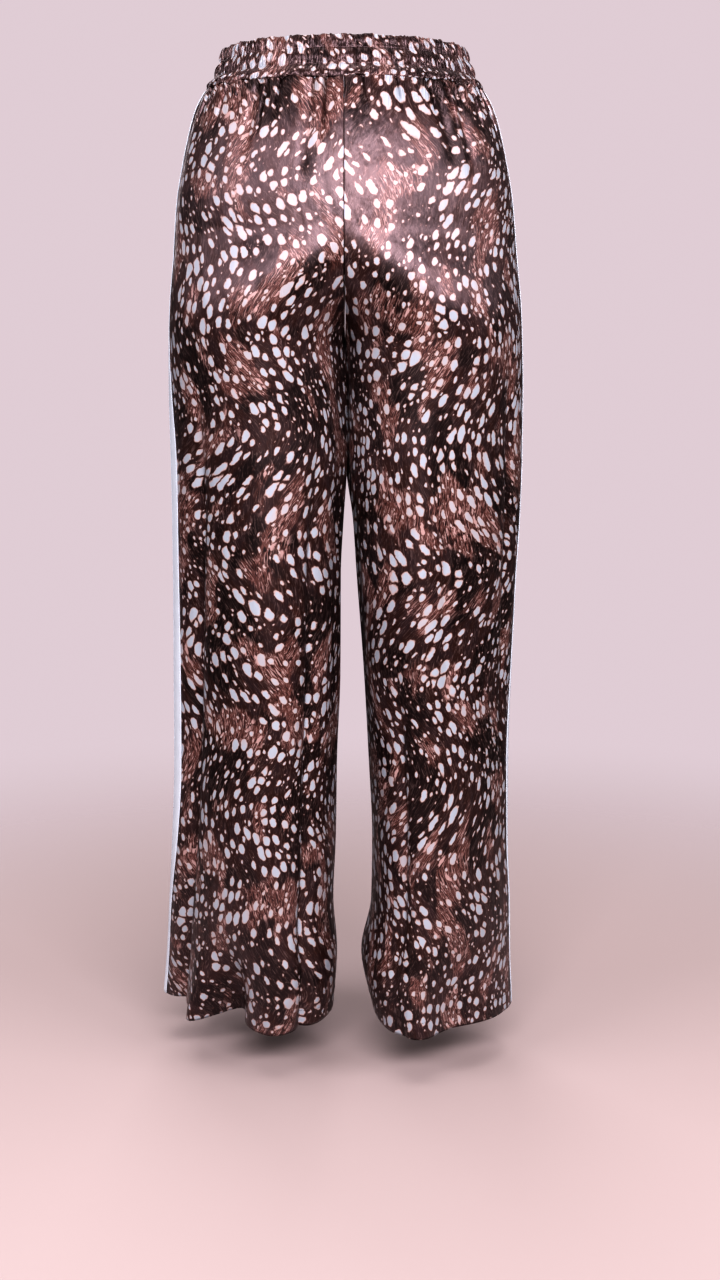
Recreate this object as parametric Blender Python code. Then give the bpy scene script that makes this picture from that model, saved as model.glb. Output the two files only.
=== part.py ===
"""Wide-leg satin joggers: a gathered elastic waistband, front and back panels, a tape on each side seam.

Metres, +Z up. The origin is the middle of the waist opening, halfway up the waistband, where the
waist that wears the garment holds it. The front faces -Y and the wearer's left is +X.

Every panel is a wall lofted through rows. A row runs round one leg, and a place on it is its "turn":
0 at the side of the leg, 1 at the inner edge going round the back, -1 at the inner edge going round
the front. A row's "drop" is its distance below the top edge of the waistband. Turns and drops are
arrays, so that one call finds a whole panel.
"""

import math
from collections import namedtuple

import bmesh
import bpy
import numpy as np

# ---- Driving sizes -------------------------------------------------------------------------------

BAND_HEIGHT = 0.040  # waistband, top edge to seam
BAND_WALL = 0.0024  # casing with the elastic inside
BAND_TOP = BAND_HEIGHT / 2  # height of the top edge above the origin
BAND_PUFF = 0.0012  # how far the casing stands out between its rows of stitching
CLOTH = 0.0012  # satin panel
TAPE_WIDTH = 0.022
TAPE_THICKNESS = 0.0008
SEAM_GAP = 0.0003  # between pieces that are sewn together
SIDE_LENGTH = 1.020  # outseam, waistband included
CROTCH_DROP = 0.300
SEAT_DROP = 0.185  # where the centre seams start to curve under
CROTCH_CURVE = 1.4  # how late the centre seams turn under

GATHERS = 140  # pleats of the casing round the waist
GATHER_DEPTH = 0.0011
TUCKS = 6  # small tucks let out below the band, on each panel
TUCK_DEPTH = 0.0026
TUCK_HALF_WIDTH = 0.0065
TUCK_LENGTH = 0.040
TUCK_PINCH = 0.25  # share of a tuck's depth left at the seam, which holds it flat
TUCK_OPENING = 0.014  # below the seam, where a tuck has opened to its full depth
SEAM_CALM = 0.06  # turn over which folds die out towards an inner edge, so that the seams meet

PANEL_COLUMNS = 27
FOLD_CROWDING = 0.010  # metres of width that one radian of bend is worth when columns are shared out

# ---- Sections ------------------------------------------------------------------------------------

# Rings of the waistband: half width, depth behind and in front of the side seams, puff of the casing.
BandRing = namedtuple("BandRing", "drop half_width back front puff")
BAND_RINGS = (
    BandRing(0.0000, 0.1235, 0.0920, 0.0850, 0.0),
    BandRing(0.0070, 0.1260, 0.0940, 0.0865, 1.0),
    BandRing(0.0150, 0.1285, 0.0955, 0.0880, 0.3),
    BandRing(0.0220, 0.1310, 0.0970, 0.0890, 1.0),
    BandRing(0.0290, 0.1340, 0.0985, 0.0905, 0.2),
    BandRing(0.0350, 0.1385, 0.1015, 0.0930, 1.0),
    BandRing(BAND_HEIGHT, 0.1415, 0.1040, 0.0950, 0.4),
)
BAND_INNER_RINGS = (0, 4, 6)  # rings that the plain inside passes through

# Rows of a leg: side and inner edge from the centre line, depth behind and in front of the side, how
# far behind the centre plane the side lies, how much flatter than an ellipse the ring is at the side
# and how much fuller at the inner edge, and the turn at which the side seam lies.
LegRow = namedtuple("LegRow", "drop outer inner back front side_back side_flat inner_full seam_turn")
SEAM_DROP = BAND_HEIGHT + SEAM_GAP
TAPE_START = SEAM_DROP + 0.0012  # just clear of the waistband's lower edge
HIP_ROWS = (
    (SEAM_DROP, 0.1415, 0.0006, 0.1040, 0.0950, 0, 0, 0),
    (0.0480, 0.1475, 0.0006, 0.1075, 0.0985, 0, 0, 0),
    (0.0600, 0.1535, 0.0006, 0.1110, 0.1015, 0, 0, 0),
    (0.0850, 0.1610, 0.0006, 0.1160, 0.1045, 0, 0, 0),
    (0.1100, 0.1665, 0.0006, 0.1195, 0.1070, 0, 0, 0),
    (0.1500, 0.1735, 0.0006, 0.1235, 0.1085, 0, 0, 0),
    (0.2100, 0.1785, 0.0006, 0.1260, 0.1085, 0, 0.05, 0),
    (0.2600, 0.1830, 0.0006, 0.1250, 0.1065, 0, 0.12, 0),
)
HIP_SEAM_TURNS = {  # one for each of these rows
    "left": (0, 0, 0, 0, 0, 0.0040, 0.0140, 0.0255),
    "right": (-0.050, -0.050, -0.050, -0.050, -0.050, -0.050, -0.0480, -0.0395),
}
LEG_ROWS = {
    "left": (
        LegRow(CROTCH_DROP, 0.1845, 0.0006, 0.1225, 0.1040, 0, 0.20, 0, 0.035),
        LegRow(0.3600, 0.1850, 0.0006, 0.1210, 0.1010, 0, 0.28, 0, 0.065),
        LegRow(0.4200, 0.1850, 0.0010, 0.1200, 0.0990, 0, 0.33, 0.05, 0.095),
        LegRow(0.4800, 0.1850, 0.0035, 0.1190, 0.0970, 0, 0.35, 0.10, 0.102),
        LegRow(0.5400, 0.1850, 0.0060, 0.1180, 0.0950, 0, 0.35, 0.15, 0.106),
        LegRow(0.6400, 0.1860, 0.0060, 0.1170, 0.0930, 0, 0.35, 0.20, 0.116),
        LegRow(0.7400, 0.1870, 0.0095, 0.1160, 0.0920, 0, 0.35, 0.25, 0.112),
        LegRow(0.8300, 0.1900, 0.0110, 0.1150, 0.0920, 0, 0.35, 0.30, 0.086),
        LegRow(0.9000, 0.1950, 0.0140, 0.1110, 0.0930, -0.0040, 0.42, 0.35, 0.048),
        LegRow(0.9600, 0.2000, 0.0100, 0.1050, 0.0950, -0.0160, 0.46, 0.45, 0.030),
        LegRow(SIDE_LENGTH, 0.2070, 0.0140, 0.0950, 0.0970, -0.0340, 0.50, 0.50, 0.010),
    ),
    "right": (
        LegRow(CROTCH_DROP, 0.1850, 0.0006, 0.1225, 0.1040, 0, 0.20, 0, -0.034),
        LegRow(0.3600, 0.1865, 0.0006, 0.1210, 0.1010, 0, 0.28, 0, -0.035),
        LegRow(0.4200, 0.1865, 0.0020, 0.1200, 0.0990, 0, 0.33, 0.05, -0.030),
        LegRow(0.4800, 0.1850, 0.0080, 0.1190, 0.0970, 0, 0.35, 0.05, -0.025),
        LegRow(0.5400, 0.1820, 0.0120, 0.1180, 0.0950, 0, 0.35, 0.10, -0.008),
        LegRow(0.6400, 0.1790, 0.0195, 0.1170, 0.0930, 0, 0.35, 0.10, 0.022),
        LegRow(0.7400, 0.1765, 0.0250, 0.1160, 0.0920, 0, 0.35, 0.10, 0.048),
        LegRow(0.8300, 0.1770, 0.0290, 0.1150, 0.0920, 0, 0.35, 0.10, 0.028),
        LegRow(0.9000, 0.1800, 0.0280, 0.1140, 0.0930, 0, 0.38, 0.12, 0.000),
        LegRow(0.9600, 0.1815, 0.0170, 0.1130, 0.0950, 0, 0.42, 0.25, -0.018),
        LegRow(SIDE_LENGTH, 0.1850, 0.0290, 0.1080, 0.0970, 0, 0.42, 0.45, -0.028),
    ),
}
# Drops of the panels' rows, closer where the form changes fast.
ROW_DROPS = np.array((
    SEAM_DROP, 0.047, 0.056, 0.070, 0.092, 0.125, 0.165, 0.200, 0.230, 0.255, 0.275, 0.290,
    CROTCH_DROP, 0.320, 0.370, 0.440, 0.530, 0.630, 0.740, 0.830, 0.900, 0.960, SIDE_LENGTH,
))
TAPE_DROPS = np.concatenate(((TAPE_START,), ROW_DROPS[1:]))

# ---- Folds ---------------------------------------------------------------------------------------

# The long folds of the hanging cloth. A positive depth is a trough and a negative one a ridge. A fold
# grows from nothing at "start" to "depth" at "full", and from there it changes evenly to its depth,
# width and turn at the hem. A creased fold has a sharp line along its middle, the others are round.
Fold = namedtuple("Fold", "turn hem_turn depth hem_depth half_width hem_half_width start full creased")
FOLDS = {
    "left": (
        Fold(0.280, 0.195, 0.0110, 0.0120, 0.0100, 0.0100, 0.26, 0.48, True),
        Fold(0.340, 0.352, 0.0000, -0.0300, 0.0160, 0.0160, 0.82, 0.92, False),
        Fold(0.420, 0.418, 0.0000, 0.0330, 0.0240, 0.0190, 0.80, 0.90, False),
        Fold(0.640, 0.615, -0.0020, -0.0080, 0.0260, 0.0220, 0.66, 0.84, False),
        Fold(0.755, 0.740, 0.0100, 0.0120, 0.0090, 0.0110, 0.36, 0.54, True),
        Fold(0.940, 0.940, -0.0040, 0.0000, 0.0120, 0.0120, 0.28, 0.34, False),
        Fold(-0.26, -0.24, 0.0090, 0.0140, 0.0110, 0.0130, 0.28, 0.55, True),
        Fold(-0.70, -0.74, 0.0100, 0.0150, 0.0110, 0.0130, 0.34, 0.56, True),
        Fold(-0.47, -0.50, -0.0060, -0.0180, 0.0260, 0.0260, 0.40, 0.70, False),
    ),
    "right": (
        Fold(0.695, 0.710, 0.0100, 0.0060, 0.0090, 0.0110, 0.54, 0.76, True),
        Fold(0.620, 0.630, -0.0030, -0.0020, 0.0180, 0.0220, 0.60, 0.84, False),
        Fold(0.475, 0.475, 0.0045, 0.0000, 0.0090, 0.0120, 0.30, 0.46, True),
        Fold(0.430, 0.445, 0.0000, 0.0190, 0.0280, 0.0360, 0.70, 0.90, False),
        Fold(0.190, 0.140, 0.0060, 0.0000, 0.0080, 0.0100, 0.26, 0.40, True),
        Fold(0.940, 0.940, 0.0030, 0.0000, 0.0120, 0.0120, 0.28, 0.34, False),
        Fold(-0.30, -0.28, 0.0090, 0.0140, 0.0110, 0.0130, 0.30, 0.56, True),
        Fold(-0.66, -0.70, 0.0100, 0.0140, 0.0110, 0.0130, 0.32, 0.54, True),
        Fold(-0.48, -0.46, -0.0060, -0.0180, 0.0260, 0.0260, 0.42, 0.72, False),
    ),
}
# Tucks that show plainly on the seat below the band: where, how deep and wide, how far down they run.
Tuck = namedtuple("Tuck", "turn depth half_width length")
BACK_TUCKS = {
    "left": (Tuck(0.86, 0.0046, 0.0055, 0.055), Tuck(0.60, 0.0034, 0.0050, 0.045)),
    "right": (Tuck(0.57, 0.0046, 0.0055, 0.045), Tuck(0.46, 0.0044, 0.0055, 0.055)),
}

SIDE_SIGN = {"left": 1, "right": -1}
PANEL_TURNS = {"back": 1, "front": -1}
MATERIALS = {  # base colour, roughness
    "printed_satin": ((0.075, 0.045, 0.040), 0.42),
    "white_tape": ((0.74, 0.79, 0.84), 0.45),
}


def ease(t):
    """0 below 0, 1 above 1 and a smooth step between."""
    t = np.clip(t, 0, 1)
    return t * t * (3 - 2 * t)


def smooth_between(rows, column, drop):
    """A column of a table at any drop, on a cubic that never swings past its rows."""
    drops = np.array([row.drop for row in rows])
    values = np.array([getattr(row, column) for row in rows])
    slopes = np.diff(values) / np.diff(drops)
    before, after = slopes[:-1], slopes[1:]
    level = before * after <= 0
    middle = np.where(level, 0, 2 * before * after / np.where(level, 1, before + after))
    tangents = np.concatenate((slopes[:1], middle, slopes[-1:]))
    high = np.clip(np.searchsorted(drops, drop), 1, len(drops) - 1)
    low = high - 1
    span = drops[high] - drops[low]
    t = np.clip((drop - drops[low]) / span, 0, 1)
    return (
        values[low] * (1 + 2 * t) * (1 - t) ** 2
        + values[high] * t * t * (3 - 2 * t)
        + span * (tangents[low] * t * (1 - t) ** 2 - tangents[high] * t * t * (1 - t))
    )


LEG_TABLES = {
    leg: tuple(LegRow(*row, turn) for row, turn in zip(HIP_ROWS, HIP_SEAM_TURNS[leg])) + LEG_ROWS[leg]
    for leg in LEG_ROWS
}


def row_sizes(leg, drop):
    return LegRow(drop, *(smooth_between(LEG_TABLES[leg], name, drop) for name in LegRow._fields[1:]))


def leg_share(drop):
    """0 where both hips share one ring, 1 from the crotch down, where each leg has a ring of its own."""
    t = np.clip((drop - SEAT_DROP) / (CROTCH_DROP - SEAT_DROP), 0, 1)
    return np.sin(np.pi / 2 * t**CROTCH_CURVE)


def plain_point(leg, turn, drop):
    """The cloth's outer side with no folds, for a leg on the +X side.

    The ring's middle lies on the centre line at the hips and moves out to the leg's own middle, so the
    part of the ring on this side of the centre line grows from a half to the whole."""
    row = row_sizes(leg, drop)
    share = leg_share(drop)
    depth = np.where(turn > 0, row.back, row.front)
    angle = turn * np.arccos(-share)
    inner = row.inner * share
    across = (share + np.cos(angle)) / (1 + share)
    fullness = 1 - row.side_flat * across**2 + row.inner_full * share * (1 - across) ** 2
    x = inner + (row.outer - inner) * across
    y = depth * np.sin(angle) * fullness + row.side_back * across
    return np.stack(np.broadcast_arrays(x, y, BAND_TOP - drop), axis=-1)


def outward(surface, leg, turn, drop, reach=0.003):
    """The unit normal of one of the surfaces, pointing out of the garment."""
    high = np.minimum(drop + reach, SIDE_LENGTH)
    low = np.maximum(drop - reach, SEAM_DROP)
    across = surface(leg, turn + reach, drop) - surface(leg, turn - reach, drop)
    down = surface(leg, turn, high) - surface(leg, turn, low)
    normal = np.cross(down, across)
    return normal / np.linalg.norm(normal, axis=-1, keepdims=True)


def creased_form(distance):
    """The section of a crease: 1 at its line, nearly nothing at three times the half width."""
    return np.exp(0.3 - np.sqrt(distance * distance + 0.09))


def round_form(distance):
    """The section of a soft swell: 1 at its middle, nearly nothing at twice the half width."""
    return np.exp(-distance * distance)


def fold_depth(leg, turn, drop):
    """How far the long folds carry the cloth in from its plain form."""
    row = row_sizes(leg, drop)
    half_girth = np.pi * (row.outer - row.inner + row.back + row.front) / 4
    depth = 0
    for fold in FOLDS[leg]:
        way = np.clip((drop - fold.full) / (SIDE_LENGTH - fold.full), 0, 1)
        at = fold.turn + (fold.hem_turn - fold.turn) * way
        half_width = fold.half_width + (fold.hem_half_width - fold.half_width) * way
        size = fold.depth * ease((drop - fold.start) / (fold.full - fold.start))
        size = size + (fold.hem_depth - fold.depth) * ease(way)
        form = creased_form if fold.creased else round_form
        depth = depth + size * form((turn - at) * half_girth / half_width)
    return depth


def tuck_depth(leg, turn, drop):
    """How far in the small tucks lie that the elastic gathers into the top of each panel."""
    row = row_sizes(leg, drop)
    quarter_girth = (row.outer + np.where(turn > 0, row.back, row.front)) * np.pi / 4
    down = drop - SEAM_DROP
    pinch = TUCK_PINCH + (1 - TUCK_PINCH) * ease(down / TUCK_OPENING)
    depth = 0
    for k in range(TUCKS):
        uneven = np.sin(2.4 * k + np.where(turn > 0, 0.7, 2.1) + (0.0 if leg == "left" else 1.3))
        at = (k + 0.5 + 0.25 * uneven) / TUCKS
        size = TUCK_DEPTH * (1 - 0.4 * uneven) * np.exp(-down / (TUCK_LENGTH * (1 + 0.5 * uneven)))
        depth = depth + size * round_form((np.abs(turn) - at) * quarter_girth / TUCK_HALF_WIDTH)
    for tuck in BACK_TUCKS[leg]:
        size = tuck.depth * ease(2 - down / tuck.length)
        depth = depth + size * round_form((turn - tuck.turn) * quarter_girth / tuck.half_width)
    return depth * pinch


def cloth_point(leg, turn, drop):
    """The cloth's outer side with its folds, for a leg on the +X side."""
    sunk = fold_depth(leg, turn, drop) + tuck_depth(leg, turn, drop)
    sunk = sunk * ease((1 - np.abs(turn)) / SEAM_CALM)
    return plain_point(leg, turn, drop) - outward(plain_point, leg, turn, drop) * sunk[..., None]


def turn_beside(leg, start, distance, drop):
    """The turn that lies a distance along the row from another one."""
    step = 0.002
    chord = cloth_point(leg, start + step, drop) - cloth_point(leg, start - step, drop)
    return start + distance * 2 * step / np.linalg.norm(chord, axis=-1)


def column_turns(leg, panel, drops):
    """The turn of each of a panel's columns on each row: its seam edge, the tape's edge, and then the
    rest of the row, shared out by width and by how sharply the cloth bends."""
    sign = PANEL_TURNS[panel]
    seam = row_sizes(leg, drops).seam_turn
    first = turn_beside(leg, seam, sign * SEAM_GAP / 2, drops)
    second = turn_beside(leg, seam, sign * TAPE_WIDTH / 2, drops)
    last = turn_beside(leg, np.full_like(drops, sign), -sign * SEAM_GAP / 2, drops)
    part = np.linspace(0, 1, 161)
    turns = second[:, None] + (last - second)[:, None] * part
    steps = np.diff(cloth_point(leg, turns, drops[:, None]), axis=1)
    lengths = np.linalg.norm(steps, axis=-1)
    cosines = (steps[:, 1:] * steps[:, :-1]).sum(axis=-1) / (lengths[:, 1:] * lengths[:, :-1])
    lengths[:, 1:] += FOLD_CROWDING * np.arccos(np.clip(cosines, -1, 1))
    columns = []
    for row, costs in zip(turns, lengths):
        cost = np.concatenate(((0,), np.cumsum(costs)))
        columns.append(np.interp(np.linspace(0, cost[-1], PANEL_COLUMNS), cost, row))
    return np.column_stack((first, np.array(columns)[:, :-1], last))


def cloth_layer(leg, turns, drops, lift):
    """A grid of points at a height above the cloth's outer side, one row for each drop."""
    drops = drops[:, None]
    points = cloth_point(leg, turns, drops) + outward(cloth_point, leg, turns, drops) * lift
    return points * (SIDE_SIGN[leg], 1, 1)


def material(name):
    colour, roughness = MATERIALS[name]
    made = bpy.data.materials.new(name)
    made.use_nodes = True
    shader = made.node_tree.nodes["Principled BSDF"]
    shader.inputs["Base Color"].default_value = (*colour, 1)
    shader.inputs["Roughness"].default_value = roughness
    return made


def wall(name, outside, inside, slot, closed=False, seam_column=0):
    """A closed solid between two grids of points. The grids may differ in their number of rows, and
    their columns run right round where closed is true. Every square is cut from its upper corner on
    the side of the seam column, so that what lies on a panel is cut like the panel itself."""
    mesh = bmesh.new()
    outer, inner = ([[mesh.verts.new(point) for point in row] for row in grid] for grid in (outside, inside))

    def strip(one, other):
        for k in range(len(one) if closed else len(one) - 1):
            near, far = k, (k + 1) % len(one)
            if k < seam_column:
                near, far = far, near
            mesh.faces.new((one[near], one[far], other[far]))
            mesh.faces.new((one[near], other[far], other[near]))

    for side in (outer, inner):
        for upper, lower in zip(side, side[1:]):
            strip(upper, lower)
    for edge in (0, -1):
        strip(outer[edge], inner[edge])
        if not closed:
            for k in range(len(outer) - 1):
                mesh.faces.new((outer[k][edge], outer[k + 1][edge], inner[k + 1][edge], inner[k][edge]))
    bmesh.ops.recalc_face_normals(mesh, faces=mesh.faces)
    data = bpy.data.meshes.new(name)
    mesh.to_mesh(data)
    mesh.free()
    data.materials.append(slot)
    data.shade_smooth()
    data.set_sharp_from_angle(angle=math.radians(50))
    garment.objects.link(bpy.data.objects.new(name, data))


def band_ring(ring, angle, lift):
    """Points of the waistband round one of its rings, at a height above it."""
    depth = np.where(np.sin(angle) > 0, ring.back, ring.front)
    x = ring.half_width * np.cos(angle)
    y = depth * np.sin(angle)
    out = np.stack((depth * np.cos(angle), ring.half_width * np.sin(angle)))
    out = out / np.linalg.norm(out, axis=0) * lift
    return np.stack((x + out[0], y + out[1], np.full_like(x, BAND_TOP - ring.drop)), axis=-1)


def make_waistband(slot):
    """The elastic's casing: pleated all round outside, plain inside."""
    k = np.arange(2 * GATHERS)
    angle = 2 * np.pi * k / len(k)
    uneven = 1 + 0.35 * np.sin(1.9 * (k // 2)) + 0.2 * np.sin(0.53 * k)
    pleats = GATHER_DEPTH / 2 * np.where(k % 2, 1, -1) * uneven
    outside = [band_ring(ring, angle, pleats + BAND_PUFF * ring.puff) for ring in BAND_RINGS]
    inside = [band_ring(BAND_RINGS[index], angle, -BAND_WALL) for index in BAND_INNER_RINGS]
    wall("waistband", outside, inside, slot, closed=True)


def make_panel(leg, panel, slot):
    """A front or back: the cloth from the waist seam to the hem, side seam to centre seam and inseam."""
    turns = column_turns(leg, panel, ROW_DROPS)
    outside = cloth_layer(leg, turns, ROW_DROPS, 0)
    wall(f"{panel}_{leg}", outside, cloth_layer(leg, turns, ROW_DROPS, -CLOTH), slot)


def make_side_tape(leg, slot):
    """The tape over the side seam, made from the panels' own points moved out."""
    front, back = (column_turns(leg, panel, TAPE_DROPS)[:, :2] for panel in ("front", "back"))
    turns = np.column_stack((front[:, ::-1], back))
    outside = cloth_layer(leg, turns, TAPE_DROPS, SEAM_GAP + TAPE_THICKNESS)
    inside = cloth_layer(leg, turns, TAPE_DROPS, SEAM_GAP)
    wall(f"side_tape_{leg}", outside, inside, slot, seam_column=1)


for old in list(bpy.data.objects):
    bpy.data.objects.remove(old)
garment = bpy.data.collections.new("wide_leg_joggers")
bpy.context.scene.collection.children.link(garment)
satin = material("printed_satin")
tape = material("white_tape")
make_waistband(satin)
for leg_name in LEG_ROWS:
    for panel_name in PANEL_TURNS:
        make_panel(leg_name, panel_name, satin)
    make_side_tape(leg_name, tape)
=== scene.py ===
import math

import bpy
import numpy as np
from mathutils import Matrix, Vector


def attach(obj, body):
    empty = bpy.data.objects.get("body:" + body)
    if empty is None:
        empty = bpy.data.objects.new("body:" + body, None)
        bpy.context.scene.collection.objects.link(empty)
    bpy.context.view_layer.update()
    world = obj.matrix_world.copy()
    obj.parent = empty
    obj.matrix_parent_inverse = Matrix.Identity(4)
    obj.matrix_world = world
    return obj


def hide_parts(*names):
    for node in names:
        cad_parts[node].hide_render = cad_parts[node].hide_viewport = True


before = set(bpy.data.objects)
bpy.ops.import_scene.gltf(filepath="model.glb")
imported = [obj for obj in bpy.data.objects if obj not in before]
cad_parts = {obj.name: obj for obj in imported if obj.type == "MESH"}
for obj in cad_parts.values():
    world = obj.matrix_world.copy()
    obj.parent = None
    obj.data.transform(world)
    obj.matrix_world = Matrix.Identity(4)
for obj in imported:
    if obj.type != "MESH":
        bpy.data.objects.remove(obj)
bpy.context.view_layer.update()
print("frame loaded:", sorted(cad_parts))


def hexToLinear(hexColour):
    channels = [int(hexColour[i:i + 2], 16) / 255 for i in (1, 3, 5)]
    return tuple(c / 12.92 if c <= 0.04045 else ((c + 0.055) / 1.055) ** 2.4 for c in channels) + (1,)


def setInputs(node, inputs):
    # an input is given by name, or by number among those in use, and a node gives its first output in use
    used = [socket for socket in node.inputs if socket.enabled]
    for name, value in inputs.items():
        socket = used[name] if isinstance(name, int) else node.inputs[name]
        if isinstance(value, bpy.types.Node):
            value = next(output for output in value.outputs if output.enabled)
        if isinstance(value, bpy.types.NodeSocket):
            node.id_data.links.new(value, socket)
        else:
            socket.default_value = value


def addNode(tree, kind, inputs=(), **settings):
    made = tree.nodes.new(kind)
    for name, value in settings.items():
        setattr(made, name, value)
    setInputs(made, dict(inputs))
    return made


def ease(t):
    t = np.clip(t, 0, 1)
    return t * t * (3 - 2 * t)


def smoothColumn(drops, values, drop):  # a cubic through a table's column that never swings past it
    drops, values = np.array(drops), np.array(values, dtype=float)
    slopes = np.diff(values) / np.diff(drops)
    before, after = slopes[:-1], slopes[1:]
    level = before * after <= 0
    middle = np.where(level, 0, 2 * before * after / np.where(level, 1, before + after))
    tangents = np.concatenate((slopes[:1], middle, slopes[-1:]))
    high = np.clip(np.searchsorted(drops, drop), 1, len(drops) - 1)
    low = high - 1
    span = drops[high] - drops[low]
    t = np.clip((drop - drops[low]) / span, 0, 1)
    return (
        values[low] * (1 + 2 * t) * (1 - t) ** 2
        + values[high] * t * t * (3 - 2 * t)
        + span * (tangents[low] * t * (1 - t) ** 2 - tangents[high] * t * t * (1 - t))
    )


def softNoise(across, down, seed, around=None):  # smooth value noise from -1 to 1, one bump to a unit
    rows, columns = 64, 997
    table = np.random.default_rng(seed).uniform(-1, 1, (rows, columns))
    x0, y0 = np.floor(across).astype(int), np.floor(down).astype(int)
    fx, fy = ease(across - x0), ease(down - y0)
    wrap = around or columns
    left, right = x0 % wrap, (x0 + 1) % wrap
    upper, lower = (
        table[y % rows, left] * (1 - fx) + table[y % rows, right] * fx for y in (y0, y0 + 1)
    )
    return upper * (1 - fy) + lower * fy


def meshFromGrid(name, points, uv, materials, flip, ring=False):
    rows, columns = points.shape[:2]
    index = np.arange(rows * columns).reshape(rows, columns)
    after = np.roll(index, -1, axis=1) if ring else index[:, 1:]
    before = index if ring else index[:, :-1]
    quads = np.stack((before[:-1], before[1:], after[1:], after[:-1]), axis=-1).reshape(-1, 4)
    if flip:
        quads = quads[:, ::-1]
    data = bpy.data.meshes.new(name)
    data.from_pydata(points.reshape(-1, 3).tolist(), [], quads.tolist())
    layer = data.uv_layers.new(name="cut")
    corners = np.empty(len(data.loops), dtype=np.int32)
    data.loops.foreach_get("vertex_index", corners)
    layer.data.foreach_set("uv", uv.reshape(-1, 2)[corners].ravel())
    for material in materials:
        data.materials.append(material)
    data.shade_smooth()
    made = bpy.data.objects.new(name, data)
    bpy.context.scene.collection.objects.link(made)
    return made


# The form of the cloth, in metres. A place on a leg has a turn (0 at the side, 1 at the inner edge round
# the back, -1 round the front) and a drop (distance below the top edge of the waistband).

garment = {
    "bandHeight": 0.040,
    "bandTop": 0.020,  # height of the top edge above the waist mount
    "seamDrop": 0.0403,
    "hemDrop": 1.020,
    "crotchDrop": 0.300,
    "seatDrop": 0.185,  # where the centre seams start to curve under
    "crotchCurve": 1.4,  # how late they turn under
    "seamGap": 0.0003,
    "seamCalm": 0.06,  # turn over which folds die out towards an inner edge
    "clothThickness": 0.0010,
}

# Side and inner edge from the centre line, depth behind and in front of the side, how far behind the
# centre plane the side lies, how much flatter than an ellipse the ring is at the side and how much
# fuller at the inner edge, and the turn of the side seam. The rows of the hips come first.
hipForm = {
    "drop": (0.0403, 0.0480, 0.0600, 0.0850, 0.1100, 0.1500, 0.2100, 0.2600),
    "outer": (0.1415, 0.1475, 0.1535, 0.1610, 0.1665, 0.1735, 0.1785, 0.1830),
    "inner": (0.0006,) * 8,
    "back": (0.1040, 0.1075, 0.1110, 0.1160, 0.1195, 0.1235, 0.1260, 0.1250),
    "front": (0.0950, 0.0985, 0.1015, 0.1045, 0.1070, 0.1085, 0.1085, 0.1065),
    "sideBack": (0,) * 8,
    "sideFlat": (0, 0, 0, 0, 0, 0, 0.05, 0.12),
    "innerFull": (0,) * 8,
}
legDrops = (0.300, 0.360, 0.420, 0.480, 0.540, 0.640, 0.740, 0.830, 0.900, 0.960, 1.020)
legForm = {
    "left": {
        "outer": (0.1845, 0.1850, 0.1850, 0.1850, 0.1850, 0.1860, 0.1870, 0.1900, 0.1950, 0.2000, 0.2070),
        "inner": (-0.0002, -0.0004, 0.0002, 0.0035, 0.0060, 0.0060, 0.0095, 0.0110, 0.0140, 0.0100, 0.0140),
        "back": (0.1225, 0.1210, 0.1200, 0.1190, 0.1180, 0.1170, 0.1160, 0.1150, 0.1110, 0.1050, 0.0950),
        "front": (0.1040, 0.1010, 0.0990, 0.0970, 0.0950, 0.0930, 0.0920, 0.0920, 0.0930, 0.0950, 0.0970),
        "sideBack": (0, 0, 0, 0, 0, 0, 0, 0, -0.0040, -0.0160, -0.0340),
        "sideFlat": (0.20, 0.28, 0.33, 0.35, 0.35, 0.35, 0.35, 0.35, 0.42, 0.46, 0.50),
        "innerFull": (0, 0, 0.05, 0.10, 0.15, 0.20, 0.25, 0.30, 0.35, 0.45, 0.50),
        "seamTurn": (0.035, 0.065, 0.095, 0.102, 0.106, 0.116, 0.112, 0.086, 0.048, 0.030, 0.010),
        "hipSeamTurn": (0, 0, 0, 0, 0, 0.0040, 0.0140, 0.0255),
    },
    "right": {
        "outer": (0.1850, 0.1865, 0.1865, 0.1850, 0.1820, 0.1790, 0.1765, 0.1770, 0.1800, 0.1815, 0.1850),
        "inner": (-0.0002, -0.0004, 0.0004, 0.0080, 0.0120, 0.0195, 0.0250, 0.0290, 0.0280, 0.0170, 0.0290),
        "back": (0.1225, 0.1210, 0.1200, 0.1190, 0.1180, 0.1170, 0.1160, 0.1150, 0.1140, 0.1130, 0.1080),
        "front": (0.1040, 0.1010, 0.0990, 0.0970, 0.0950, 0.0930, 0.0920, 0.0920, 0.0930, 0.0950, 0.0970),
        "sideBack": (0,) * 11,
        "sideFlat": (0.20, 0.28, 0.33, 0.35, 0.35, 0.35, 0.35, 0.35, 0.38, 0.42, 0.42),
        "innerFull": (0, 0, 0.05, 0.05, 0.10, 0.10, 0.10, 0.10, 0.12, 0.25, 0.45),
        "seamTurn": (-0.034, -0.035, -0.030, -0.025, -0.008, 0.022, 0.048, 0.028, 0.000, -0.018, -0.028),
        "hipSeamTurn": (-0.050, -0.050, -0.050, -0.050, -0.050, -0.050, -0.0480, -0.0395),
    },
}

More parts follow.
